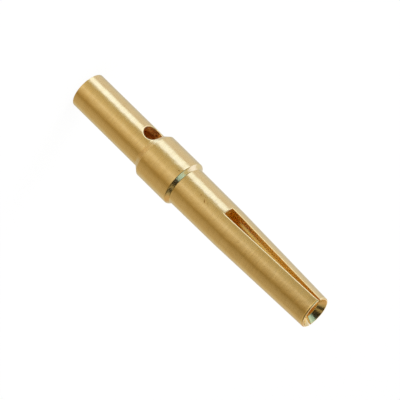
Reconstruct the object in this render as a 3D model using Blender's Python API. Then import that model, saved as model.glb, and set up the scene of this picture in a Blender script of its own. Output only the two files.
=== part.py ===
# Crimp socket contact for a rectangular or circular connector.
# One piece, turned from copper alloy rod, drilled from both ends, cross drilled, sawn into
# two tines, deburred, and closed in at the mouth so that the tines grip a pin.
# The axis is Z. The wire goes in at the bottom, where the contact stands, and the pin at the top.
# The saw slot lies in the YZ plane, so the tines close along X. All lengths are in metres.

from math import atan2, cos, pi, radians, sin, sqrt, tan

import bmesh
import bpy
from mathutils import Matrix, Vector

# Crimp barrel
BARREL_DIAMETER = 0.00262
BARREL_LENGTH = 0.00613
BARREL_EDGE_ROUND = 0.00003
WIRE_BORE_DIAMETER = 0.00175
WIRE_BORE_DEPTH = 0.00650
WIRE_ENTRY_CHAMFER = 0.00010

# Inspection hole, drilled from one side only, in which the wire's end shows
INSPECTION_HOLE_DIAMETER = 0.00121
INSPECTION_HOLE_HEIGHT = 0.00566
INSPECTION_HOLE_FROM_SLOT = radians(13.0)

# Collar, which the retaining clip of the housing holds between its two chamfers
COLLAR_DIAMETER = 0.00331
COLLAR_LENGTH = 0.00270
COLLAR_REAR_CHAMFER = 0.00046
COLLAR_FRONT_CHAMFER = 0.000235
COLLAR_REAR_ROUND = 0.00005
COLLAR_FRONT_ROUND = 0.00012
COLLAR_FOOT_ROUND = 0.00010

# Front body, with a slight taper from the collar to the slot
FRONT_DIAMETER = 0.00284
FRONT_LENGTH = 0.003645

# Socket with its two tines
TINE_DIAMETER = 0.00277
TINE_LENGTH = 0.00847
SOCKET_BORE_DIAMETER = 0.00191
SOCKET_BORE_PAST_SLOT = 0.00090
SLOT_WIDTH = 0.00071
MOUTH_CONE_DIAMETER = 0.00257
MOUTH_CONE_DEPTH = 0.00041
MOUTH_EDGE_ROUND = 0.00008
MOUTH_THROAT_ROUND = 0.00006

# Closing in of the tines
TINE_CLOSING_ANGLE = radians(2.14)
TINE_BEND_LENGTH = 0.00076

# Tools
DRILL_POINT_ANGLE = radians(118.0)
EDGE_BREAK = 0.00008
CUTTER_MARGIN = 0.00010

# Facets
TURNED_FACETS = 64
HOLE_FACETS = 40
ARC_STEPS = 3
BEND_STEPS = 4
SLOT_ROOT_STEPS = 6
SHARP_ANGLE = radians(30.0)

# Heights along the axis, from the sizes above
COLLAR_FOOT = BARREL_LENGTH
COLLAR_REAR = COLLAR_FOOT + COLLAR_REAR_CHAMFER
COLLAR_FRONT = COLLAR_REAR + COLLAR_LENGTH
FRONT_FOOT = COLLAR_FRONT + COLLAR_FRONT_CHAMFER
SLOT_ROOT = FRONT_FOOT + FRONT_LENGTH
MOUTH = SLOT_ROOT + TINE_LENGTH
SOCKET_BORE_BOTTOM = SLOT_ROOT - SOCKET_BORE_PAST_SLOT


def clear_scene():
    """Empty the scene of what Blender opens with."""
    for item in list(bpy.data.objects):
        bpy.data.objects.remove(item, do_unlink=True)


def drill_point(diameter):
    """Height of the cone that a drill leaves at the bottom of its hole."""
    return diameter / 2 / tan(DRILL_POINT_ANGLE / 2)


def bend_heights():
    """Heights in the tines where the metal turns inwards, from the slot's root up."""
    return [SLOT_ROOT + TINE_BEND_LENGTH * i / BEND_STEPS for i in range(BEND_STEPS + 1)]


def rounded(corners):
    """Outline through corners of (radius, height, rounding), with arcs at rounded corners."""
    outline = []
    for i, (r, z, rounding) in enumerate(corners):
        if rounding == 0:
            outline.append((r, z))
            continue
        corner = Vector((r, z))
        before = (Vector(corners[i - 1][:2]) - corner).normalized()
        after = (Vector(corners[i + 1][:2]) - corner).normalized()
        half_angle = before.angle(after) / 2
        run = rounding / tan(half_angle)
        centre = corner + (before + after).normalized() * (rounding / sin(half_angle))
        first = corner + before * run - centre
        last = corner + after * run - centre
        start = atan2(first.y, first.x)
        turn = (atan2(last.y, last.x) - start + pi) % (2 * pi) - pi
        for k in range(ARC_STEPS + 1):
            angle = start + turn * k / ARC_STEPS
            outline.append((centre.x + rounding * cos(angle), centre.y + rounding * sin(angle)))
    return outline


def outside_corners():
    """The turned outside, from the crimp end up to the mouth."""
    corners = [
        (BARREL_DIAMETER / 2, 0, BARREL_EDGE_ROUND),
        (BARREL_DIAMETER / 2, COLLAR_FOOT, COLLAR_FOOT_ROUND),
        (COLLAR_DIAMETER / 2, COLLAR_REAR, COLLAR_REAR_ROUND),
        (COLLAR_DIAMETER / 2, COLLAR_FRONT, COLLAR_FRONT_ROUND),
        (FRONT_DIAMETER / 2, FRONT_FOOT, COLLAR_FOOT_ROUND),
    ]
    corners += [(TINE_DIAMETER / 2, z, 0) for z in bend_heights()]
    corners.append((TINE_DIAMETER / 2, MOUTH, MOUTH_EDGE_ROUND))
    return corners


def half_section():
    """Half of the turned section, from the wire bore's point to the socket bore's point."""
    wire = WIRE_BORE_DIAMETER / 2
    socket = SOCKET_BORE_DIAMETER / 2
    corners = [
        (0, WIRE_BORE_DEPTH + drill_point(WIRE_BORE_DIAMETER), 0),
        (wire, WIRE_BORE_DEPTH, 0),
        (wire, WIRE_ENTRY_CHAMFER, 0),
        (wire + WIRE_ENTRY_CHAMFER, 0, 0),
    ]
    corners += outside_corners()
    corners += [
        (MOUTH_CONE_DIAMETER / 2, MOUTH, 0),
        (socket, MOUTH - MOUTH_CONE_DEPTH, MOUTH_THROAT_ROUND),
    ]
    corners += [(socket, z, 0) for z in reversed(bend_heights())]
    corners += [
        (socket, SOCKET_BORE_BOTTOM, 0),
        (0, SOCKET_BORE_BOTTOM - drill_point(SOCKET_BORE_DIAMETER), 0),
    ]
    return rounded(corners)


def turned(name, section):
    """Revolve a half section, whose two ends lie on the axis, into a closed solid."""
    bm = bmesh.new()
    rings = []
    for r, z in section[1:-1]:
        ring = []
        for i in range(TURNED_FACETS):
            angle = 2 * pi * (i + 0.5) / TURNED_FACETS
            ring.append(bm.verts.new((r * cos(angle), r * sin(angle), z)))
        rings.append(ring)
    for low, high in zip(rings, rings[1:]):
        for i in range(TURNED_FACETS):
            j = (i + 1) % TURNED_FACETS
            bm.faces.new((low[i], low[j], high[j], high[i]))
    for ring, (r, z) in ((rings[0], section[0]), (rings[-1], section[-1])):
        tip = bm.verts.new((r, 0, z))
        for i in range(TURNED_FACETS):
            bm.faces.new((ring[i], ring[(i + 1) % TURNED_FACETS], tip))
    return finish_object(bm, name)


def finish_object(bm, name):
    """Turn a closed bmesh into an object with its faces pointing outwards."""
    bmesh.ops.recalc_face_normals(bm, faces=bm.faces[:])
    mesh = bpy.data.meshes.new(name)
    bm.to_mesh(mesh)
    bm.free()
    item = bpy.data.objects.new(name, mesh)
    bpy.context.scene.collection.objects.link(item)
    return item


def outside_radius(z):
    """Radius of the turned outside at a height, without its small rounds."""
    corners = outside_corners()
    for (r0, z0, _), (r1, z1, _) in zip(corners, corners[1:]):
        if z0 <= z <= z1:
            return r0 + (r1 - r0) * (z - z0) / (z1 - z0)
    return corners[-1][0]


def surface_height(across, z):
    """How far out the turned surface lies from the axis, beside the line of a cut."""
    return sqrt(outside_radius(z) ** 2 - across ** 2)


def edge_breaking_cutter(name, outline, directions, depth, azimuth):
    """Cutter with a given outline that flares where it leaves the turned surface.

    outline holds (across, height) points and directions their outward directions. The flare
    follows the round surface, so it leaves the same small chamfer all along the edge.
    """
    flare = EDGE_BREAK + CUTTER_MARGIN
    deep = []
    waist = []
    lip = []
    top = []
    for (across, z), (sideways, upwards) in zip(outline, directions):
        wide = across + sideways * flare
        high = z + upwards * flare
        deep.append((across, depth, z))
        waist.append((across, surface_height(across, z) - EDGE_BREAK, z))
        lip.append((wide, surface_height(wide, high) + CUTTER_MARGIN, high))
        top.append((wide, COLLAR_DIAMETER, high))
    bm = bmesh.new()
    loops = [[bm.verts.new(point) for point in loop] for loop in (deep, waist, lip, top)]
    count = len(outline)
    for low, high in zip(loops, loops[1:]):
        for i in range(count):
            j = (i + 1) % count
            bm.faces.new((low[i], low[j], high[j], high[i]))
    bm.faces.new(loops[0])
    bm.faces.new(loops[-1])
    bmesh.ops.rotate(bm, verts=bm.verts[:], matrix=Matrix.Rotation(azimuth, 3, "Z"))
    cutter = finish_object(bm, name)
    cutter.hide_render = True
    cutter.display_type = "WIRE"
    return cutter


def inspection_drill():
    """Drill that opens one wall of the crimp barrel beside the collar."""
    radius = INSPECTION_HOLE_DIAMETER / 2
    turns = [2 * pi * i / HOLE_FACETS for i in range(HOLE_FACETS)]
    directions = [(sin(t), cos(t)) for t in turns]
    outline = [(radius * a, INSPECTION_HOLE_HEIGHT + radius * b) for a, b in directions]
    azimuth = pi - INSPECTION_HOLE_FROM_SLOT
    return edge_breaking_cutter("inspection_drill", outline, directions, 0, azimuth)


def slot_saw(name, azimuth):
    """Saw that opens the socket wall on one side, from the mouth down to the slot's root."""
    half = SLOT_WIDTH / 2
    above = MOUTH + 2 * (EDGE_BREAK + CUTTER_MARGIN)
    heights = bend_heights()[1:] + [above]
    outline = []
    directions = []
    for i in range(SLOT_ROOT_STEPS + 1):
        outline.append((half * (2 * i / SLOT_ROOT_STEPS - 1), SLOT_ROOT))
        directions.append((0, -1))
    directions[0] = (-1, -1)
    directions[-1] = (1, -1)
    for z in heights:
        outline.append((half, z))
        directions.append((1, 0))
    for z in reversed(heights):
        outline.append((-half, z))
        directions.append((-1, 0))
    return edge_breaking_cutter(name, outline, directions, -CUTTER_MARGIN, azimuth)


def cut(item, cutters):
    """Subtract the cutters from the item, and remove them."""
    for cutter in cutters:
        modifier = item.modifiers.new(cutter.name, "BOOLEAN")
        modifier.operation = "DIFFERENCE"
        modifier.solver = "EXACT"
        modifier.object = cutter
    depsgraph = bpy.context.evaluated_depsgraph_get()
    mesh = bpy.data.meshes.new_from_object(item.evaluated_get(depsgraph))
    item.modifiers.clear()
    item.data = mesh
    for cutter in cutters:
        bpy.data.objects.remove(cutter, do_unlink=True)


def neutral_distance():
    """Distance of a tine's neutral axis from the contact's axis, as the centre of a half ring."""
    outer = TINE_DIAMETER / 2
    inner = SOCKET_BORE_DIAMETER / 2
    return 4 / (3 * pi) * (outer ** 3 - inner ** 3) / (outer ** 2 - inner ** 2)


def close_tines(item):
    """Bend the two tines towards each other beyond the slot's root, as a press does."""
    neutral = neutral_distance()
    for vertex in item.data.vertices:
        rise = vertex.co.z - SLOT_ROOT
        if rise <= 0:
            continue
        bent = min(rise, TINE_BEND_LENGTH)
        angle = TINE_CLOSING_ANGLE * bent / TINE_BEND_LENGTH
        shift = angle * bent / 2 + tan(angle) * (rise - bent)
        side = 1 if vertex.co.x > 0 else -1
        lean = angle * (abs(vertex.co.x) - neutral)
        vertex.co.x -= side * shift
        vertex.co.z += lean


def plated_metal():
    """Gold plate over copper alloy."""
    material = bpy.data.materials.new("gold_plate_on_copper_alloy")
    material.use_nodes = True
    shader = material.node_tree.nodes["Principled BSDF"]
    shader.inputs["Base Color"].default_value = (0.68, 0.45, 0.16, 1.0)
    shader.inputs["Metallic"].default_value = 1.0
    shader.inputs["Roughness"].default_value = 0.28
    return material


def socket_contact():
    """The whole contact: turned and drilled, cross drilled, slotted, and closed in."""
    contact = turned("socket_contact", half_section())
    cut(contact, [inspection_drill(), slot_saw("slot_saw_front", pi), slot_saw("slot_saw_back", 0)])
    close_tines(contact)
    contact.data.shade_smooth()
    contact.data.set_sharp_from_angle(angle=SHARP_ANGLE)
    contact.data.materials.append(plated_metal())
    return contact


clear_scene()
socket_contact()
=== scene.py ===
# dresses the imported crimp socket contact: a fine mesh of the same form, gold plate, and studio light
import math

import bmesh
import bpy
from mathutils import Matrix, Vector


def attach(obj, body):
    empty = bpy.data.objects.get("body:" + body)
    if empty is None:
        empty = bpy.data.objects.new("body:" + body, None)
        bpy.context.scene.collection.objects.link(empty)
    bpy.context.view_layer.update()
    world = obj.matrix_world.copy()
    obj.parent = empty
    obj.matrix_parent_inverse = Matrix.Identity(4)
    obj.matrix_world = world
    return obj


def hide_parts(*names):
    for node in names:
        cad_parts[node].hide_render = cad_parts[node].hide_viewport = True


print("contact: loading the packed frame")
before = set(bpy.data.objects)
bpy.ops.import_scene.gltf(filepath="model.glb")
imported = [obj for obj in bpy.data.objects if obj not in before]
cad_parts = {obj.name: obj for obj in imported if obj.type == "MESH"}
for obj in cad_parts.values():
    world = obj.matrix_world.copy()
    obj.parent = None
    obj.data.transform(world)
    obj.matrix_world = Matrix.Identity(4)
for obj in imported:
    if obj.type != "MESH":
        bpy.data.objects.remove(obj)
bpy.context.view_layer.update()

mm = 0.001

# sizes of the turned and drilled form, in mm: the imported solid's, but for the two finest roundings
contact = {
    "barrelDiameter": 2.62,
    "barrelLength": 6.13,
    "barrelEdge": 0.03,
    "wireBore": 1.75,
    "wireBoreDepth": 6.50,
    "wireEntry": 0.10,  # small chamfer where the wire goes in
    "collarDiameter": 3.31,
    "collarLength": 2.70,
    "rearChamfer": 0.46,
    "frontChamfer": 0.235,
    "rearEdge": 0.05,
    "frontEdge": 0.12,
    "collarFoot": 0.10,
    "frontDiameter": 2.84,
    "frontLength": 3.645,
    "tineDiameter": 2.77,
    "tineLength": 8.47,
    "socketBore": 1.91,
    "socketPastSlot": 0.90,  # how far the bore goes on below the slot's root
    "mouthCone": 2.57,
    "mouthConeDepth": 0.41,
    "mouthEdge": 0.08,
    "rimCrest": 0.03,  # rounding between the rim and the cone
    "throat": 0.09,  # rounding between the cone and the bore
    "drillPoint": 118,  # degrees
}

# the saw cut, its rounded edges, and how far the tines are pressed in
slot = {
    "width": 0.71,
    "edge": 0.08,
    "rimEdge": 0.025,
    "boreEdge": 0.03,
    "closing": 2.14,  # degrees that each tine leans in
    "bendLength": 0.76,
    "bendSteps": 8,
}

# the hole drilled across the crimp barrel
hole = {
    "diameter": 1.21,
    "height": 5.66,
    "fromSlot": 13,  # degrees round the axis
    "edge": 0.08,
    "innerEdge": 0.02,
    "patchLow": 4.86,  # the part of the surface that is meshed in loops round the hole
    "patchHigh": 6.42,
    "patchHalfAngle": 60,  # degrees
    "patchLoops": 12,
    "patchEasing": 1.5,  # how much closer together the loops lie next to the rim
    "wallShares": (0.25, 0.5, 0.75),
}

# how finely the surface is divided
detail = {
    "slotColumns": 12,
    "tineColumns": 84,
    "longStep": 0.22,
    "nearStep": 0.03,
    "arcSteps": 6,
    "edgeSteps": 5,
    "edgeSmoothings": 3,
    "wallShares": (0.06, 0.5, 0.94),
    "chamferSlope": 0.2,  # what falls in more than this towards the mouth is a chamfer
    "sharpAngle": 35,  # degrees
}

collarFootZ = contact["barrelLength"]
collarRearZ = collarFootZ + contact["rearChamfer"]
collarFrontZ = collarRearZ + contact["collarLength"]
frontFootZ = collarFrontZ + contact["frontChamfer"]
rootZ = frontFootZ + contact["frontLength"]
mouthZ = rootZ + contact["tineLength"]
barrelR = contact["barrelDiameter"] / 2
collarR = contact["collarDiameter"] / 2
frontR = contact["frontDiameter"] / 2
tineR = contact["tineDiameter"] / 2
boreR = contact["socketBore"] / 2
wireR = contact["wireBore"] / 2
coneR = contact["mouthCone"] / 2
halfSlot = slot["width"] / 2
slotColumns = detail["slotColumns"]
tineColumns = detail["tineColumns"]
columnCount = 2 * (slotColumns + tineColumns)
hair = 0.001  # mm, less than any step of the form

# the finishes, by their places in the mesh's list of materials
turnedFinish = 0
burnishedFinish = 1
sawnFinish = 2
drilledFinish = 3
tumbledFinish = 4
reamedFinish = 5


# points along a straight run, closer together next to its ends
def straight(a, b):
    length = math.dist(a, b)
    near = min(detail["nearStep"], length / 4)
    count = max(1, math.ceil((length - 2 * near) / detail["longStep"]))
    cuts = [0, near]
    cuts += [near + (length - 2 * near) * i / count for i in range(1, count)]
    cuts += [length - near, length]
    return [(a[0] + (b[0] - a[0]) * c / length, a[1] + (b[1] - a[1]) * c / length) for c in cuts]


# the arc that rounds one corner of an outline
def roundedCorner(before, corner, after, rounding):
    corner = Vector(corner)
    before = (Vector(before) - corner).normalized()
    after = (Vector(after) - corner).normalized()
    half = before.angle(after) / 2
    centre = corner + (before + after).normalized() * (rounding / math.sin(half))
    first = corner + before * (rounding / math.tan(half)) - centre
    last = corner + after * (rounding / math.tan(half)) - centre
    start = math.atan2(first.y, first.x)
    turn = (math.atan2(last.y, last.x) - start + math.pi) % (2 * math.pi) - math.pi
    steps = detail["arcSteps"]
    angles = [start + turn * k / steps for k in range(steps + 1)]
    return [(centre.x + rounding * math.cos(t), centre.y + rounding * math.sin(t)) for t in angles]


# an outline through (radius, height, rounding) corners, with points along its straight runs
def outline(corners):
    points = []
    for i, (r, z, rounding) in enumerate(corners):
        piece = [(r, z)]
        if rounding:
            piece = roundedCorner(corners[i - 1][:2], (r, z), corners[i + 1][:2], rounding)
        if points:
            points += straight(points[-1], piece[0])[1:-1]
        points += piece
    return points


# a mesh under construction: points in mm, and faces with the number of their finish
class MeshPen:
    def __init__(self):
        self.points = []
        self.faces = []
        self.finishes = []

    def point(self, place):
        self.points.append(tuple(place))
        return len(self.points) - 1

    def face(self, corners, finish):
        if None not in corners:
            self.faces.append(corners)
            self.finishes.append(finish)

    def strip(self, low, high, finish, closed=False):
        for i in range(len(low) if closed else len(low) - 1):
            j = (i + 1) % len(low)
            self.face([low[i], low[j], high[j], high[i]], finish)

    def grid(self, rows, finish, closed=False):
        for low, high in zip(rows, rows[1:]):
            self.strip(low, high, finish, closed)

    # a rounded edge, from a point of the mesh towards a corner and on to its end
    def roundedEdge(self, start, corner, end):
        first = Vector(self.points[start])
        ids = [start]
        for k in range(1, detail["edgeSteps"] + 1):
            t = k / detail["edgeSteps"]
            towards = first.lerp(Vector(corner), t)
            beyond = Vector(corner).lerp(Vector(end), t)
            ids.append(self.point(towards.lerp(beyond, t)))
        return ids

    def between(self, a, b, shares):
        first = Vector(self.points[a])
        last = Vector(self.points[b])
        return [a] + [self.point(first.lerp(last, s)) for s in shares] + [b]


# angles of the mesh's columns, measured round the axis from the front slot
def columnAngles(radius, edge):
    half = math.asin((halfSlot + edge) / radius)
    rest = math.pi - 2 * half
    angles = []
    for centre in (0, math.pi):
        angles += [centre - half + 2 * half * i / slotColumns for i in range(slotColumns)]
        angles += [centre + half + rest * i / tineColumns for i in range(tineColumns)]
    return angles


def turnedPoint(radius, angle, z):
    return (radius * math.sin(angle), -radius * math.cos(angle), z)


# a chain of rings along an outline; its chamfers that face the mouth are burnished
def addRings(pen, points, angles, finish, skipped=(), first=None):
    rings = [first] if first else []
    for r, z in points[len(rings):]:
        left = skipped if hole["patchLow"] < z < hole["patchHigh"] else ()
        rings.append([
            None if i in left else pen.point(turnedPoint(r, a, z))
            for i, a in enumerate(angles)
        ])
    for (r0, z0), (r1, z1), low, high in zip(points, points[1:], rings, rings[1:]):
        chamfer = finish == turnedFinish and r0 - r1 > detail["chamferSlope"] * abs(z1 - z0)
        pen.strip(low, high, burnishedFinish if chamfer else finish, closed=True)
    return rings


# the cone that a drill leaves at the bottom of its bore
def addDrillPoint(pen, ring, z, finish):
    tip = pen.point((0, 0, z))
    for i in range(len(ring)):
        pen.face([ring[i], ring[(i + 1) % len(ring)], tip], finish)


# radius of an outline at one height
def radiusAt(points, z):
    for (r0, z0), (r1, z1) in zip(points, points[1:]):
        if z0 <= z <= z1 and z0 != z1:
            return r0 + (r1 - r0) * (z - z0) / (z1 - z0)
    return points[-1][0]


# the open patch's border, once round: points of the mesh, and their places, each an angle from the
# hole's axis and a height
def patchBorder(rows, levels, columns, offsets):
    top = len(levels) - 1
    steps = [(0, c) for c in columns[:-1]]
    steps += [(row, columns[-1]) for row in range(top)]
    steps += [(top, c) for c in reversed(columns[1:])]
    steps += [(row, columns[0]) for row in range(top, 0, -1)]
    ids = [rows[row][column] for row, column in steps]
    places = [(offsets[column], levels[row]) for row, column in steps]
    return ids, places


# loops of points from the hole's rim out to the border of the open patch
def addPatch(pen, surface, rim, rimPlaces, border, borderPlaces, centre, finish):
    loops = [rim]
    for k in range(1, hole["patchLoops"]):
        share = (k / hole["patchLoops"]) ** hole["patchEasing"]
        loop = []
        for (a0, z0), (a1, z1) in zip(rimPlaces, borderPlaces):
            z = z0 + (z1 - z0) * share
            angle = centre + a0 + (a1 - a0) * share
            loop.append(pen.point(turnedPoint(radiusAt(surface, z), angle, z)))
        loops.append(loop)
    loops.append(border)
    pen.grid(loops, finish, closed=True)


# the cross-drilled hole: rounded rim, wall, rounded inner rim, and the patches round both rims
def addHole(pen, outside, wire, outerRows, wireRows, levels, columns, offsets, centre):
    radius = hole["diameter"] / 2
    outerBorder, borderPlaces = patchBorder(outerRows, levels, columns, offsets)
    wireBorder, _ = patchBorder(wireRows, levels, columns, offsets)
    turns = [math.atan2(barrelR * a, z - hole["height"]) for a, z in borderPlaces]
    drill = Vector((math.sin(centre), -math.cos(centre), 0))
    across = Vector((math.cos(centre), math.sin(centre), 0))

    # where a drill of this radius comes out of a round surface: angle from its axis, and height
    def rimPlaces(surface, r):
        heights = [hole["height"] + r * math.cos(t) for t in turns]
        return [
            (math.asin(r * math.sin(t) / radiusAt(surface, z)), z)
            for t, z in zip(turns, heights)
        ]

    # a point of the drill's wall, a little above or below a round surface
    def onWall(surface, turn, rise):
        z = hole["height"] + radius * math.cos(turn)
        side = radius * math.sin(turn)
        out = math.sqrt(radiusAt(surface, z) ** 2 - side ** 2) + rise
        return drill * out + across * side + Vector((0, 0, z))

    outerPlaces = rimPlaces(outside, radius + hole["edge"])
    innerPlaces = rimPlaces(wire, radius + hole["innerEdge"])
    outerRim = [
        pen.point(turnedPoint(radiusAt(outside, z), centre + a, z))
        for a, z in outerPlaces
    ]
    innerRim = [pen.point(turnedPoint(wireR, centre + a, z)) for a, z in innerPlaces]
    spokes = []
    for turn, outer, inner in zip(turns, outerRim, innerRim):
        topEnd = onWall(outside, turn, -hole["edge"])
        footEnd = onWall(wire, turn, hole["innerEdge"])
        top = pen.roundedEdge(outer, onWall(outside, turn, 0), topEnd)
        foot = pen.roundedEdge(inner, onWall(wire, turn, 0), footEnd)
        spokes.append((top, pen.between(top[-1], foot[-1], hole["wallShares"]), foot))
    for (top, wall, foot), (nextTop, nextWall, nextFoot) in zip(spokes, spokes[1:] + spokes[:1]):
        pen.strip(top, nextTop, tumbledFinish)
        pen.strip(wall, nextWall, drilledFinish)
        pen.strip(foot, nextFoot, drilledFinish)
    outer = (outerRim, outerPlaces, outerBorder, borderPlaces)
    inner = (innerRim, innerPlaces, wireBorder, borderPlaces)
    addPatch(pen, outside, *outer, centre, turnedFinish)
    addPatch(pen, wire, *inner, centre, drilledFinish)


# the outside from the crimp end to just below the slot's root, the wire bore, and the cross hole
def addBarrel(pen):
    entryR = wireR + contact["wireEntry"]
    chamferRise = (collarR - barrelR) / contact["rearChamfer"]
    patchTopR = barrelR + chamferRise * (hole["patchHigh"] - collarFootZ)
    taper = (frontR - tineR) / contact["frontLength"]
    outside = outline([
        (entryR, 0, 0),
        (barrelR, 0, contact["barrelEdge"]),
        (barrelR, hole["patchLow"], 0),
        (barrelR, collarFootZ, contact["collarFoot"]),
        (patchTopR, hole["patchHigh"], 0),
        (collarR, collarRearZ, contact["rearEdge"]),
        (collarR, collarFrontZ, contact["frontEdge"]),
        (frontR, frontFootZ, contact["collarFoot"]),
        (tineR + taper * slot["edge"], rootZ - slot["edge"], 0),
    ])
    angles = columnAngles(tineR, slot["edge"])
    centre = -math.radians(hole["fromSlot"])
    offsets = [(a - centre + math.pi) % (2 * math.pi) - math.pi for a in angles]
    reach = math.radians(hole["patchHalfAngle"])
    near = [i for i, a in enumerate(offsets) if abs(a) < reach]
    columns = sorted(near, key=lambda i: offsets[i])
    inside = set(columns[1:-1])
    outerRings = addRings(pen, outside, angles, turnedFinish, inside)

    levels = [z for r, z in outside if hole["patchLow"] <= z <= hole["patchHigh"]]
    wire = [(wireR, z) for z in levels]
    entry = [(entryR, 0)] + straight((wireR, contact["wireEntry"]), wire[0])[:-1]
    deep = straight(wire[-1], (wireR, contact["wireBoreDepth"]))[1:]
    wireRings = addRings(pen, entry + wire + deep, angles, drilledFinish, inside, outerRings[0])
    tipZ = contact["wireBoreDepth"] + wireR / math.tan(math.radians(contact["drillPoint"] / 2))
    addDrillPoint(pen, wireRings[-1], tipZ, drilledFinish)

    outerRows = [ring for (r, z), ring in zip(outside, outerRings) if z in levels]
    wireRows = wireRings[len(entry):len(entry) + len(levels)]
    addHole(pen, outside, wire, outerRows, wireRows, levels, columns, offsets, centre)
    return outerRings[-1]


# the socket's bore below the slot, down to its drill point
def addSocketBore(pen):
    top = (boreR, rootZ - slot["boreEdge"])
    bottom = (boreR, rootZ - contact["socketPastSlot"])
    angles = columnAngles(boreR, slot["boreEdge"])
    rings = addRings(pen, straight(top, bottom), angles, reamedFinish)
    tipZ = bottom[1] - boreR / math.tan(math.radians(contact["drillPoint"] / 2))
    addDrillPoint(pen, rings[-1], tipZ, reamedFinish)
    return rings[0]


# the flat root of one slot, with its rounded edges outside and in the bore; turn is 1 for the one in
# front, -1 for the one behind
def addSlotRoot(pen, turn, rootRing, boreRing):
    start = 0 if turn == 1 else slotColumns + tineColumns
    outerEdges = []
    innerEdges = []
    faceRows = []
    for j in range(slotColumns + 1):
        x = halfSlot * (2 * j / slotColumns - 1)
        outer = math.sqrt(tineR ** 2 - x ** 2)
        inner = math.sqrt(boreR ** 2 - x ** 2)

        def place(out):
            return (turn * x, -turn * out, rootZ)

        outerEnd = place(outer - slot["edge"])
        innerEnd = place(inner + slot["boreEdge"])
        outerEdges.append(pen.roundedEdge(rootRing[start + j], place(outer), outerEnd))
        innerEdges.append(pen.roundedEdge(boreRing[start + j], place(inner), innerEnd))
        faceRows.append(pen.between(outerEdges[-1][-1], innerEdges[-1][-1], detail["wallShares"]))
    pen.grid(outerEdges, tumbledFinish)
    pen.grid(innerEdges, reamedFinish)
    pen.grid(faceRows, sawnFinish)
    return outerEdges, innerEdges, faceRows


# a tine's section up its outside, over the rim and down its bore, and how many rows each side has
def tineSection():
    capZ = mouthZ - 2 * contact["mouthEdge"]
    rim = outline([
        (tineR, capZ, 0),
        (tineR, mouthZ, contact["mouthEdge"]),
        (coneR, mouthZ, contact["rimCrest"]),
        (boreR, mouthZ - contact["mouthConeDepth"], contact["throat"]),
        (boreR, rootZ + slot["bendLength"], 0),
    ])
    bendStep = slot["bendLength"] / slot["bendSteps"]
    bends = [(boreR, rootZ + bendStep * i) for i in range(1, slot["bendSteps"])]
    bore = [p for p in rim if p[0] < coneR and p[1] < capZ] + bends[::-1]
    cap = [p for p in rim if p not in bore]
    outer = [(tineR, z) for r, z in reversed(bore)]
    return outer + cap + bore, len(bore)


# how wide the slot's edge is rounded at each row of the section
def edgeWidths(section, sideRows):
    widths = [slot["edge"]] * sideRows
    widths += [slot["rimEdge"]] * (len(section) - 2 * sideRows)
    throatZ = mouthZ - contact["mouthConeDepth"] - contact["throat"]
    widths += [slot["rimEdge"] if z > throatZ else slot["boreEdge"] for r, z in section[-sideRows:]]
    for _ in range(detail["edgeSmoothings"]):
        inner = [(a + b + c) / 3 for a, b, c in zip(widths, widths[1:], widths[2:])]
        widths = [widths[0]] + inner + [widths[-1]]
    return widths


# what is past a tine's outside: the rounded rim, the cone that was pressed smooth, the reamed bore
def innerFinish(radius):
    if radius > coneR:
        return tumbledFinish
    return burnishedFinish if radius > boreR + hair else reamedFinish


# one tine, with its two sawn walls; turn is 1 for the one on the +X side, -1 for the other
def addTine(pen, turn, rootRing, boreRing, frontRoot, backRoot):
    section, sideRows = tineSection()
    widths = edgeWidths(section, sideRows)
    start = slotColumns if turn == 1 else 2 * slotColumns + tineColumns
    rows = [
        [ring[(start + j) % columnCount] for j in range(tineColumns + 1)]
        for ring in (rootRing, boreRing)
    ]
    for (r, z), width in zip(section, widths):
        half = math.asin((halfSlot + width) / r)
        angles = [half + (math.pi - 2 * half) * j / tineColumns for j in range(tineColumns + 1)]
        rows.insert(-1, [pen.point(turnedPoint(turn * r, a, z)) for a in angles])
    for k, (low, high) in enumerate(zip(rows, rows[1:])):
        radius = section[min(k, len(section) - 1)][0]
        pen.strip(low, high, innerFinish(radius) if k > sideRows else turnedFinish)

    wallLine = [(math.sqrt(r ** 2 - halfSlot ** 2), z) for r, z in section]
    for side, root, corner in ((-1, frontRoot, -1), (1, backRoot, 0)):
        rootOuter, rootInner, rootFace = root
        edges = []
        for k, width in enumerate(widths):
            here = Vector(wallLine[k])
            ahead = Vector(wallLine[min(k + 1, len(wallLine) - 1)]) - here
            behind = here - Vector(wallLine[max(k - 1, 0)])
            along = (ahead.normalized() + behind.normalized()).normalized()
            past = here + Vector((-along.y, along.x)) * width
            sharp = (turn * halfSlot, side * turn * here.x, here.y)
            end = (turn * halfSlot, side * turn * past.x, past.y)
            edges.append(pen.roundedEdge(rows[k + 1][0 if side == -1 else -1], sharp, end))
        pen.grid([rootOuter[corner]] + edges + [rootInner[corner]], tumbledFinish)
        wallRows = [rootFace[corner]]
        for k in range(sideRows):
            wallRows.append(pen.between(edges[k][-1], edges[-1 - k][-1], detail["wallShares"]))
        pen.grid(wallRows, sawnFinish)
        rim = [edge[-1] for edge in edges[sideRows - 1:len(edges) - sideRows + 1]]
        pen.face(rim + wallRows[-1][-2:0:-1], sawnFinish)


# presses a point of a tine inwards, along the bending line of a beam that is bent next to the slot's
# root: the middle of its section, which is half a ring's, keeps its length
def pressedIn(place):
    x, y, z = place
    rise = z - rootZ
    if rise <= 0:
        return place
    middle = 4 / (3 * math.pi) * (tineR ** 3 - boreR ** 3) / (tineR ** 2 - boreR ** 2)
    bent = min(rise, slot["bendLength"])
    angle = math.radians(slot["closing"]) * bent / slot["bendLength"]
    shift = angle * bent / 2 + math.tan(angle) * (rise - bent)
    side = 1 if x > 0 else -1
    return (x - side * shift, y, z + angle * (abs(x) - middle))


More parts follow.
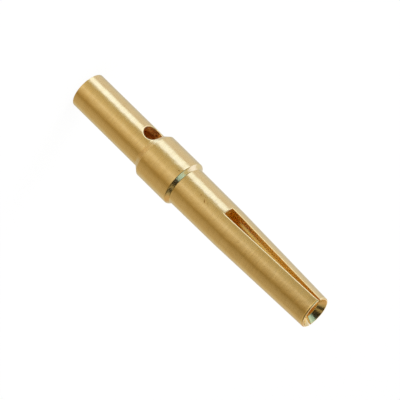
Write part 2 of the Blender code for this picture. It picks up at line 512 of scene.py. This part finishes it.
# the whole contact in one closed mesh, in metres
def makeContact(finishes):
    pen = MeshPen()
    rootRing = addBarrel(pen)
    boreRing = addSocketBore(pen)
    frontRoot = addSlotRoot(pen, 1, rootRing, boreRing)
    backRoot = addSlotRoot(pen, -1, rootRing, boreRing)
    addTine(pen, 1, rootRing, boreRing, frontRoot, backRoot)
    addTine(pen, -1, rootRing, boreRing, backRoot, frontRoot)
    mesh = bpy.data.meshes.new("crimp_socket_contact")
    mesh.from_pydata([Vector(pressedIn(p)) * mm for p in pen.points], [], pen.faces)
    for finish in finishes:
        mesh.materials.append(finish)
    mesh.polygons.foreach_set("material_index", pen.finishes)
    bm = bmesh.new()
    bm.from_mesh(mesh)
    bmesh.ops.recalc_face_normals(bm, faces=bm.faces[:])
    bm.to_mesh(mesh)
    bm.free()
    mesh.shade_smooth()
    mesh.set_sharp_from_angle(angle=math.radians(detail["sharpAngle"]))
    piece = bpy.data.objects.new("crimp_socket_contact", mesh)
    bpy.context.scene.collection.objects.link(piece)
    return piece


# sRGB hex to linear colour
def linear(hexColour):
    channels = [int(hexColour[i:i + 2], 16) / 255 for i in (1, 3, 5)]
    light = [c / 12.92 if c <= 0.04045 else ((c + 0.055) / 1.055) ** 2.4 for c in channels]
    return (*light, 1)


# adds a node with its settings, and its inputs by name or number, as values or links
def addNode(tree, kind, settings=None, inputs=None):
    node = tree.nodes.new(kind)
    for name, value in (settings or {}).items():
        setattr(node, name, value)
    for name, value in (inputs or {}).items():
        if isinstance(value, bpy.types.NodeSocket):
            tree.links.new(value, node.inputs[name])
        else:
            node.inputs[name].default_value = value
    return node


# a material, its empty node tree and its output
def newMaterial(name):
    material = bpy.data.materials.new(name)
    material.use_nodes = True
    tree = material.node_tree
    tree.nodes.clear()
    return material, tree, addNode(tree, "ShaderNodeOutputMaterial")


# the gold plate in each of its finishes: colours, and sizes in mm. The turning marks are drawn about
# twice as far apart as real ones, so that they show
gold = {
    "thickColour": "#fee9ba",
    # a darker gold that the nicks are coloured with, most at their deepest
    "thinColour": "#ecc984",
    "nickDarkColour": "#a87830",
    "cloud": 1.4,  # size of the patches of thicker and thinner plate
    "cloudDetail": 6.0,
    "cloudRoughness": 0.8,
    "turnedRoughness": 0.27,
    "turnedSpread": 0.03,
    "turnedAnisotropy": 0.97,
    "turnPitch": 0.11,
    "turnReach": 4.0,  # how far a mark runs before it changes
    "turnDepth": 0.0009,
    "wave": 0.35,  # length of the slow waves under the marks
    "waveDepth": 0.011,
    "nickDepth": 0.006,
    "burnishedColour": "#f8dfa6",
    "burnishedRoughness": 0.19,
    "ripple": 0.14,
    "rippleDepth": 0.009,
    "tumbledColour": "#ffe4a8",
    "tumbledRoughness": 0.26,
    "sawnColour": "#fce2a4",
    "sawnRoughness": 0.30,
    "sawPitch": 0.055,
    "sawReach": 2.5,
    "drilledColour": "#fadaa0",
    "drilledRoughness": 0.42,
    "reamedColour": "#ffe8a6",
    "reamedRoughness": 0.25,
    "borePitch": 0.07,
    "boreReach": 3.3,
    "cutDepth": 0.0004,
}

# nicks from handling, in mm and degrees: where each lies, round the axis from the front slot and up
# from the crimp end, its size, and how far it leans from the axis
nicks = [
    {"fromSlot": 30.1, "height": 11.68, "radius": 1.40, "length": 0.36, "width": 0.13, "lean": 42},
    {"fromSlot": 28.1, "height": 11.95, "radius": 1.40, "length": 0.22, "width": 0.06, "lean": 45},
    {"fromSlot": 24.1, "height": 11.20, "radius": 1.41, "length": 0.22, "width": 0.08, "lean": 45},
    {"fromSlot": 22.1, "height": 9.06, "radius": 1.65, "length": 0.26, "width": 0.10, "lean": -10},
]


# one nick: 1 at its deepest, 0 at its edge and beyond
def addNick(tree, place, nick):
    angle = math.radians(nick["fromSlot"])
    lean = math.radians(nick["lean"])
    outward = Vector(turnedPoint(1, angle, 0))
    sideways = Vector((math.cos(angle), math.sin(angle), 0))
    along = sideways * math.sin(lean) + Vector((0, 0, math.cos(lean)))
    turn = Matrix((along, outward.cross(along), outward)).transposed()
    local = addNode(tree, "ShaderNodeMapping", {"vector_type": "TEXTURE"}, {
        "Vector": place,
        "Location": Vector(turnedPoint(nick["radius"], angle, nick["height"])) * mm,
        "Rotation": turn.to_euler(),
        "Scale": (nick["length"] / 2 * mm, nick["width"] / 2 * mm, nick["width"] * mm),
    })
    ball = addNode(tree, "ShaderNodeTexGradient", {"gradient_type": "SPHERICAL"}, {
        "Vector": local.outputs["Vector"],
    })
    return ball.outputs["Fac"]


# gold plate over copper alloy that was turned on a lathe: satin across the tool's fine rings, sharp
# along them, so that lights draw out into long bands beside the axis; a little mottled and wavy
def turnedGold():
    material, tree, output = newMaterial("gold_plate_turned")
    place = addNode(tree, "ShaderNodeTexCoord").outputs["Object"]
    reach = 1 / (gold["turnReach"] * mm)
    rings = addNode(tree, "ShaderNodeMapping", inputs={
        "Vector": place,
        "Scale": (reach, reach, 1 / (gold["turnPitch"] * mm)),
    })
    marks = addNode(tree, "ShaderNodeTexNoise", inputs={
        "Vector": rings.outputs["Vector"],
        "Scale": 1.0,
        "Detail": 3.0,
        "Roughness": 0.6,
    })
    cloud = addNode(tree, "ShaderNodeTexNoise", inputs={
        "Vector": place,
        "Scale": 1 / (gold["cloud"] * mm),
        "Detail": gold["cloudDetail"],
        "Roughness": gold["cloudRoughness"],
    })
    colour = addNode(tree, "ShaderNodeMix", {"data_type": "RGBA"}, {
        "Factor": cloud.outputs["Fac"],
        "A": linear(gold["thickColour"]),
        "B": linear(gold["thinColour"]),
    })
    nicked = addNick(tree, place, nicks[0])
    for nick in nicks[1:]:
        both = addNode(tree, "ShaderNodeMath", {"operation": "ADD"}, {
            0: nicked,
            1: addNick(tree, place, nick),
        })
        nicked = both.outputs[0]
    # the gold is coloured darker in each nick, most at its deepest, besides the dent of its bump
    nickDarkened = addNode(tree, "ShaderNodeMix", {"data_type": "RGBA"}, {
        "Factor": nicked,
        "A": colour.outputs["Result"],
        "B": linear(gold["nickDarkColour"]),
    })
    roughness = addNode(tree, "ShaderNodeMapRange", inputs={
        "Value": marks.outputs["Fac"],
        "From Min": 0.3,  # where nearly all of the noise lies
        "From Max": 0.7,
        "To Min": gold["turnedRoughness"] - gold["turnedSpread"],
        "To Max": gold["turnedRoughness"] + gold["turnedSpread"],
    })
    waves = addNode(tree, "ShaderNodeTexNoise", inputs={
        "Vector": place,
        "Scale": 1 / (gold["wave"] * mm),
        "Detail": 1.0,
    })
    waved = addNode(tree, "ShaderNodeMath", {"operation": "MULTIPLY"}, {
        0: waves.outputs["Fac"],
        1: gold["waveDepth"] * mm,
    })
    turned = addNode(tree, "ShaderNodeMath", {"operation": "MULTIPLY_ADD"}, {
        0: marks.outputs["Fac"],
        1: gold["turnDepth"] * mm,
        2: waved.outputs[0],
    })
    dented = addNode(tree, "ShaderNodeMath", {"operation": "MULTIPLY_ADD"}, {
        0: nicked,
        1: -gold["nickDepth"] * mm,
        2: turned.outputs[0],
    })
    bump = addNode(tree, "ShaderNodeBump", inputs={
        "Height": dented.outputs[0],
        "Distance": 1.0,  # the height is in metres
        "Strength": 1.0,
    })
    tangent = addNode(tree, "ShaderNodeTangent", {"direction_type": "RADIAL", "axis": "Z"})
    shader = addNode(tree, "ShaderNodeBsdfPrincipled", inputs={
        "Base Color": nickDarkened.outputs["Result"],
        "Metallic": 1.0,
        "Roughness": roughness.outputs["Result"],
        "Anisotropic": gold["turnedAnisotropy"],
        "Anisotropic Rotation": 0.25,  # a quarter turn, so that lights spread along the axis
        "Tangent": tangent.outputs["Tangent"],
        "Normal": bump.outputs["Normal"],
    })
    tree.links.new(shader.outputs["BSDF"], output.inputs["Surface"])
    return material


# the same plate on chamfers that a form tool has pressed smooth: nearly a mirror, with a faint ripple
def burnishedGold():
    material, tree, output = newMaterial("gold_plate_burnished")
    ripples = addNode(tree, "ShaderNodeTexNoise", inputs={
        "Vector": addNode(tree, "ShaderNodeTexCoord").outputs["Object"],
        "Scale": 1 / (gold["ripple"] * mm),
        "Detail": 1.0,
    })
    bump = addNode(tree, "ShaderNodeBump", inputs={
        "Height": ripples.outputs["Fac"],
        "Distance": gold["rippleDepth"] * mm,
        "Strength": 1.0,
    })
    shader = addNode(tree, "ShaderNodeBsdfPrincipled", inputs={
        "Base Color": linear(gold["burnishedColour"]),
        "Metallic": 1.0,
        "Roughness": gold["burnishedRoughness"],
        "Normal": bump.outputs["Normal"],
    })
    tree.links.new(shader.outputs["BSDF"], output.inputs["Surface"])
    return material


# the same plate on cut edges that were tumbled before plating: soft, so they catch light all round
def tumbledGold():
    material, tree, output = newMaterial("gold_plate_tumbled")
    shader = addNode(tree, "ShaderNodeBsdfPrincipled", inputs={
        "Base Color": linear(gold["tumbledColour"]),
        "Metallic": 1.0,
        "Roughness": gold["tumbledRoughness"],
    })
    tree.links.new(shader.outputs["BSDF"], output.inputs["Surface"])
    return material


# the same plate on a cut surface: marks that lie level round the axis, in steps of the tool's pitch
def cutGold(name, colour, roughness, pitch, reach):
    material, tree, output = newMaterial(name)
    level = addNode(tree, "ShaderNodeMapping", inputs={
        "Vector": addNode(tree, "ShaderNodeTexCoord").outputs["Object"],
        "Scale": (1 / (reach * mm), 1 / (reach * mm), 1 / (pitch * mm)),
    })
    marks = addNode(tree, "ShaderNodeTexNoise", inputs={
        "Vector": level.outputs["Vector"],
        "Scale": 1.0,
        "Detail": 2.0,
    })
    bump = addNode(tree, "ShaderNodeBump", inputs={
        "Height": marks.outputs["Fac"],
        "Distance": gold["cutDepth"] * mm,
        "Strength": 1.0,
    })
    shader = addNode(tree, "ShaderNodeBsdfPrincipled", inputs={
        "Base Color": linear(colour),
        "Metallic": 1.0,
        "Roughness": roughness,
        "Normal": bump.outputs["Normal"],
    })
    tree.links.new(shader.outputs["BSDF"], output.inputs["Surface"])
    return material


# the slot's walls and root: teeth marks of the saw, which dull them
def sawnGold():
    return cutGold(
        "gold_plate_sawn", gold["sawnColour"], gold["sawnRoughness"],
        gold["sawPitch"], gold["sawReach"]
    )


# the wire bore and the cross hole: fine rings, as rough as the drill left them
def drilledGold():
    return cutGold(
        "gold_plate_drilled", gold["drilledColour"], gold["drilledRoughness"],
        gold["borePitch"], gold["boreReach"]
    )


# the socket bore: reamed smooth for the pin, so that light bounces far in and comes out deep in colour
def reamedGold():
    return cutGold(
        "gold_plate_reamed", gold["reamedColour"], gold["reamedRoughness"],
        gold["borePitch"], gold["boreReach"]
    )


print("contact: six finishes of one gold plate")
finishes = [turnedGold(), burnishedGold(), sawnGold(), drilledGold(), tumbledGold(), reamedGold()]

print("contact: turned, drilled, slotted and pressed in")
piece = makeContact(finishes)
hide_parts("socket_contact")
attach(piece, "root")

# the view of the photograph, in mm and degrees: a long lens that looks down a little, rolled so that
# the contact lies across the frame
view = {
    "azimuth": 36.1,
    "elevation": 21.0,
    "roll": 44.483,
    "distance": 223.6,
    "sensor": 36.0,
    "pixels": 400,
    "focalPixels": 3517,
    "aimHeight": 10.82,
    "middleAlong": -0.038,  # where the aim lies beside the picture's middle
    "middleAcross": -0.0068,
    "nearest": 1,
    "farthest": 10000,
}


# directions of the view: towards the camera, along the contact in the picture, and across it
def viewDirections():
    azimuth = math.radians(view["azimuth"])
    elevation = math.radians(view["elevation"])
    facing = Vector((math.sin(azimuth), -math.cos(azimuth), 0))
    across = Vector((-math.cos(azimuth), -math.sin(azimuth), 0))
    back = facing * math.cos(elevation) + Vector((0, 0, math.sin(elevation)))
    along = Vector((0, 0, math.cos(elevation))) - facing * math.sin(elevation)
    return back, along, across


# the camera, with its own axes turned to the view's directions
def addCamera():
    back, along, across = viewDirections()
    roll = math.radians(view["roll"])
    right = along * math.cos(roll) + across * math.sin(roll)
    up = across * math.cos(roll) - along * math.sin(roll)
    place = Vector((0, 0, view["aimHeight"])) + back * view["distance"]
    place -= along * view["middleAlong"] + across * view["middleAcross"]
    data = bpy.data.cameras.new("camera")
    data.sensor_width = view["sensor"]
    data.lens = view["sensor"] * view["focalPixels"] / view["pixels"]
    data.clip_start = view["nearest"] * mm
    data.clip_end = view["farthest"] * mm
    camera = bpy.data.objects.new("camera", data)
    bpy.context.scene.collection.objects.link(camera)
    facing = Matrix((right, up, back)).transposed().to_4x4()
    camera.matrix_world = Matrix.Translation(place * mm) @ facing
    bpy.context.scene.camera = camera


# the studio: a white floor and surround, a key lamp for the shadow, and a round tent of cards, which
# only the metal mirrors. Each card has its bearing in degrees from the photograph's side, its colour
# and its light, and neighbours run into each other. The low cards light the turned sides
lowCards = [
    (-170, "#d4cec2", 1.0),
    (-144, "#cbcabe", 1.0),
    (-128, "#d2c8ac", 1.0),
    (-112, "#c2b18c", 1.0),
    (-90, "#c1af8a", 1.0),
    (-72, "#b5a177", 1.0),
    (-56, "#a18954", 1.0),
    (-44, "#bfa878", 1.0),
    (-20, "#e3d4b2", 1.0),
    (-8, "#f4e9d2", 1.0),
    (8, "#dacba4", 1.0),
    (28, "#c6b58a", 1.0),
    (43, "#c7bf9b", 1.0),
    (51, "#ccdafb", 2.0),
    (75, "#cee1ff", 2.0),
    (84, "#dad5d0", 1.0),
    (120, "#d8d6cf", 1.0),
    (144, "#ccd2da", 1.0),
    (170, "#dddbd7", 1.0),
]

# a dark gap above them
middleCards = [
    (-170, "#c8a888", 1.0),
    (-120, "#c8ae88", 1.0),
    (-100, "#6a5c38", 1.0),
    (46, "#5c5030", 1.0),
    (76, "#a89460", 1.0),
    (92, "#d4dcff", 1.5),
    (118, "#d4dcff", 1.5),
    (127, "#dadad8", 1.0),
    (150, "#dadad8", 1.0),
    (170, "#c8a888", 1.0),
]

# what the mouth's cone mirrors: two dark stripes, then a pale blue side
coneCards = [
    (-170, "#c4b29a", 1.0),
    (-136, "#b8ae96", 1.0),
    (-120, "#aea388", 1.0),
    (-106, "#b0a684", 1.0),
    (-96, "#1c1814", 1.0),
    (-84, "#1c1814", 1.0),
    (-71, "#b4a67e", 1.0),
    (-57, "#3a3222", 1.0),
    (-40, "#2c261c", 1.0),
    (-8, "#2c261c", 1.0),
    (4, "#9cc4d6", 1.0),
    (20, "#b4def4", 1.0),
    (36, "#c8eaf6", 1.2),
    (50, "#b8ddf0", 1.0),
    (60, "#c1bb9a", 1.0),
    (80, "#c1bb9a", 1.0),
    (98, "#d4dcff", 1.55),
    (120, "#d4dcff", 1.55),
    (129, "#dadad8", 1.0),
    (150, "#dadad8", 1.0),
    (170, "#c8a888", 1.0),
]

# what the collar's front chamfer mirrors
highCards = [
    (-170, "#c8a888", 1.0),
    (-110, "#b8a078", 1.0),
    (-98, "#68603f", 1.0),
    (-58, "#525040", 1.0),
    (-52, "#2a241b", 1.0),
    (-12, "#2a241b", 1.0),
    (-2, "#a8d3ed", 1.0),
    (50, "#a8d3ed", 1.0),
    (60, "#c1bb9a", 1.0),
    (80, "#c1bb9a", 1.0),
    (98, "#d4dcff", 1.55),
    (120, "#d4dcff", 1.55),
    (129, "#dadad8", 1.0),
    (150, "#dadad8", 1.0),
    (170, "#c8a888", 1.0),
]

# below the floor: what the collar's rear chamfer and the crimp end's edge mirror
footCards = [
    (-170, "#d8d4c4", 1.0),
    (-140, "#c8b488", 1.0),
    (-60, "#b89c6c", 1.0),
    (-20, "#c8b080", 1.0),
    (20, "#c8c0a0", 1.0),
    (50, "#c8c0a0", 1.0),
    (60, "#cee1ff", 2.0),
    (146, "#cee1ff", 2.0),
    (158, "#dcdad6", 1.0),
    (170, "#dcdad6", 1.0),
]
underCards = [
    (-170, "#d8d4c4", 1.0),
    (-60, "#c0a878", 1.0),
    (-20, "#c8b080", 1.0),
    (20, "#c8c0a0", 1.0),
    (60, "#c8c0a0", 1.0),
    (170, "#dcdad6", 1.0),
]

# sizes in mm, and the height of each row of cards
studio = {
    "floorWhite": "#ffffff",
    "floorSize": 3000,
    "floorGlow": 0.9,  # share of the floor's white that is its own: the rest takes the shadow
    "worldLight": 1.0,
    "tentRadius": 60,
    "tentSteps": 170,
    "tentEndCorners": 36,
    "tentRows": [
        (-240, underCards),
        (-150, underCards),
        (-130, footCards),
        (-95, footCards),
        (-82, lowCards),
        (10, lowCards),
        (20, middleCards),
        (44, middleCards),
        (56, coneCards),
        (116, coneCards),
        (136, highCards),
        (240, highCards),
    ],
    "tentRoof": "#f0d8bc",
    "tentBottom": "#f4e9d2",
    "keyBearing": 62,
    "keyDistance": 50,
    "keyWidth": 24,
    "keyHeight": 100,
    "keyLight": 2.4,
    "glossyBounces": 16,  # light goes deep into the bores and the slot before it comes out
    "mostBounces": 18,
}


# whether a ray comes from the camera, or from a mirror or glass that shows what the camera would see
def seenRay(tree):
    path = addNode(tree, "ShaderNodeLightPath")
    either = addNode(tree, "ShaderNodeMath", {"operation": "MAXIMUM"}, {
        0: path.outputs["Is Camera Ray"],
        1: path.outputs["Is Glossy Ray"],
    })
    seen = addNode(tree, "ShaderNodeMath", {"operation": "MAXIMUM"}, {
        0: either.outputs[0],
        1: path.outputs["Is Transmission Ray"],
    })
    return seen.outputs[0]


# a white surround: soft light from all round, and plain white where it is seen
def addWorld():
    world = bpy.data.worlds.new("white surround")
    world.use_nodes = True
    tree = world.node_tree
    tree.nodes.clear()
    strength = addNode(tree, "ShaderNodeMapRange", inputs={
        "Value": seenRay(tree),
        "To Min": studio["worldLight"],
        "To Max": 1.0,
    })
    background = addNode(tree, "ShaderNodeBackground", inputs={
        "Color": (1, 1, 1, 1),
        "Strength": strength.outputs["Result"],
    })
    output = addNode(tree, "ShaderNodeOutputWorld")
    tree.links.new(background.outputs["Background"], output.inputs["Surface"])
    bpy.context.scene.world = world


# a white floor, which keeps the contact's shadow
def addFloor():
    material, tree, output = newMaterial("white studio floor")
    share = addNode(tree, "ShaderNodeMath", {"operation": "MULTIPLY"}, {
        0: seenRay(tree),
        1: studio["floorGlow"],
    })
    paint = addNode(tree, "ShaderNodeBsdfDiffuse", inputs={"Color": linear(studio["floorWhite"])})
    glow = addNode(tree, "ShaderNodeEmission", inputs={"Color": (1, 1, 1, 1), "Strength": 1.0})
    mix = addNode(tree, "ShaderNodeMixShader", inputs={
        0: share.outputs[0],
        1: paint.outputs["BSDF"],
        2: glow.outputs["Emission"],
    })
    tree.links.new(mix.outputs["Shader"], output.inputs["Surface"])
    material.cycles.emission_sampling = "NONE"
    half = studio["floorSize"] * mm / 2
    corners = [(-half, -half, 0), (half, -half, 0), (half, half, 0), (-half, half, 0)]
    mesh = bpy.data.meshes.new("floor")
    mesh.from_pydata(corners, [], [(0, 1, 2, 3)])
    mesh.materials.append(material)
    floor = bpy.data.objects.new("floor", mesh)
    bpy.context.scene.collection.objects.link(floor)
    floor.visible_glossy = False


# world direction of a bearing, which is 0 on the photograph's side and grows towards its upper right
def bearing(degrees):
    angle = math.radians(view["azimuth"] - degrees)
    return Vector((math.sin(angle), -math.cos(angle), 0))


# the light of a row of cards at one bearing
def cardLight(cards, degrees):
    for (a, colourA, lightA), (b, colourB, lightB) in zip(cards, cards[1:]):
        if a <= degrees <= b:
            first = Vector(linear(colourA)[:3]) * lightA
            last = Vector(linear(colourB)[:3]) * lightB
            return first.lerp(last, (degrees - a) / (b - a))


# the tent's wall and its two ends; it goes on below the floor, which the metal doesn't mirror
def addTent():
    rows = studio["tentRows"]
    steps = studio["tentSteps"]
    points = []
    colours = []

    def addCorner(degrees, z, colour):
        points.append((bearing(degrees) * studio["tentRadius"] + Vector((0, 0, z))) * mm)
        colours.extend(colour)

    for i in range(steps + 1):
        degrees = lowCards[0][0] + (lowCards[-1][0] - lowCards[0][0]) * i / steps
        for z, cards in rows:
            addCorner(degrees, z, (*cardLight(cards, degrees), 1))
    faces = []
    for i in range(steps):
        for j in range(len(rows) - 1):
            a = i * len(rows) + j
            faces.append((a, a + 1, a + 1 + len(rows), a + len(rows)))
    corners = studio["tentEndCorners"]
    for z, card in ((rows[0][0], "tentBottom"), (rows[-1][0], "tentRoof")):
        faces.append(range(len(points), len(points) + corners))
        for i in range(corners):
            addCorner(360 * i / corners, z, linear(studio[card]))
    mesh = bpy.data.meshes.new("card tent")
    mesh.from_pydata(points, [], faces)
    mesh.color_attributes.new("card", "FLOAT_COLOR", "POINT").data.foreach_set("color", colours)
    material, tree, output = newMaterial("card tent")
    colour = addNode(tree, "ShaderNodeAttribute", {"attribute_name": "card"})
    glow = addNode(tree, "ShaderNodeEmission", inputs={
        "Color": colour.outputs["Color"],
        "Strength": 1.0,
    })
    tree.links.new(glow.outputs["Emission"], output.inputs["Surface"])
    material.cycles.emission_sampling = "NONE"
    mesh.materials.append(material)
    tent = bpy.data.objects.new("card_tent", mesh)
    bpy.context.scene.collection.objects.link(tent)
    tent.visible_camera = False
    tent.visible_diffuse = False
    tent.visible_shadow = False
    tent.visible_transmission = False


# an upright softbox beside the contact, which lights the floor round its shadow
def addKeyLamp():
    outward = bearing(studio["keyBearing"])
    data = bpy.data.lights.new("key softbox", "AREA")
    data.shape = "RECTANGLE"
    data.size = studio["keyWidth"] * mm
    data.size_y = studio["keyHeight"] * mm
    data.energy = studio["keyLight"] * math.pi * data.size * data.size_y
    lamp = bpy.data.objects.new("key softbox", data)
    lamp.rotation_euler = outward.to_track_quat("Z", "Y").to_euler()
    lamp.location = (outward * studio["keyDistance"] + Vector((0, 0, studio["keyHeight"] / 2))) * mm
    lamp.visible_camera = False
    lamp.visible_glossy = False
    bpy.context.scene.collection.objects.link(lamp)


print("contact: camera, floor, cards and lamp")
addCamera()
addWorld()
addFloor()
addTent()
addKeyLamp()

bpy.context.scene.cycles.glossy_bounces = studio["glossyBounces"]
bpy.context.scene.cycles.max_bounces = studio["mostBounces"]
bpy.context.scene.view_settings.view_transform = "Standard"
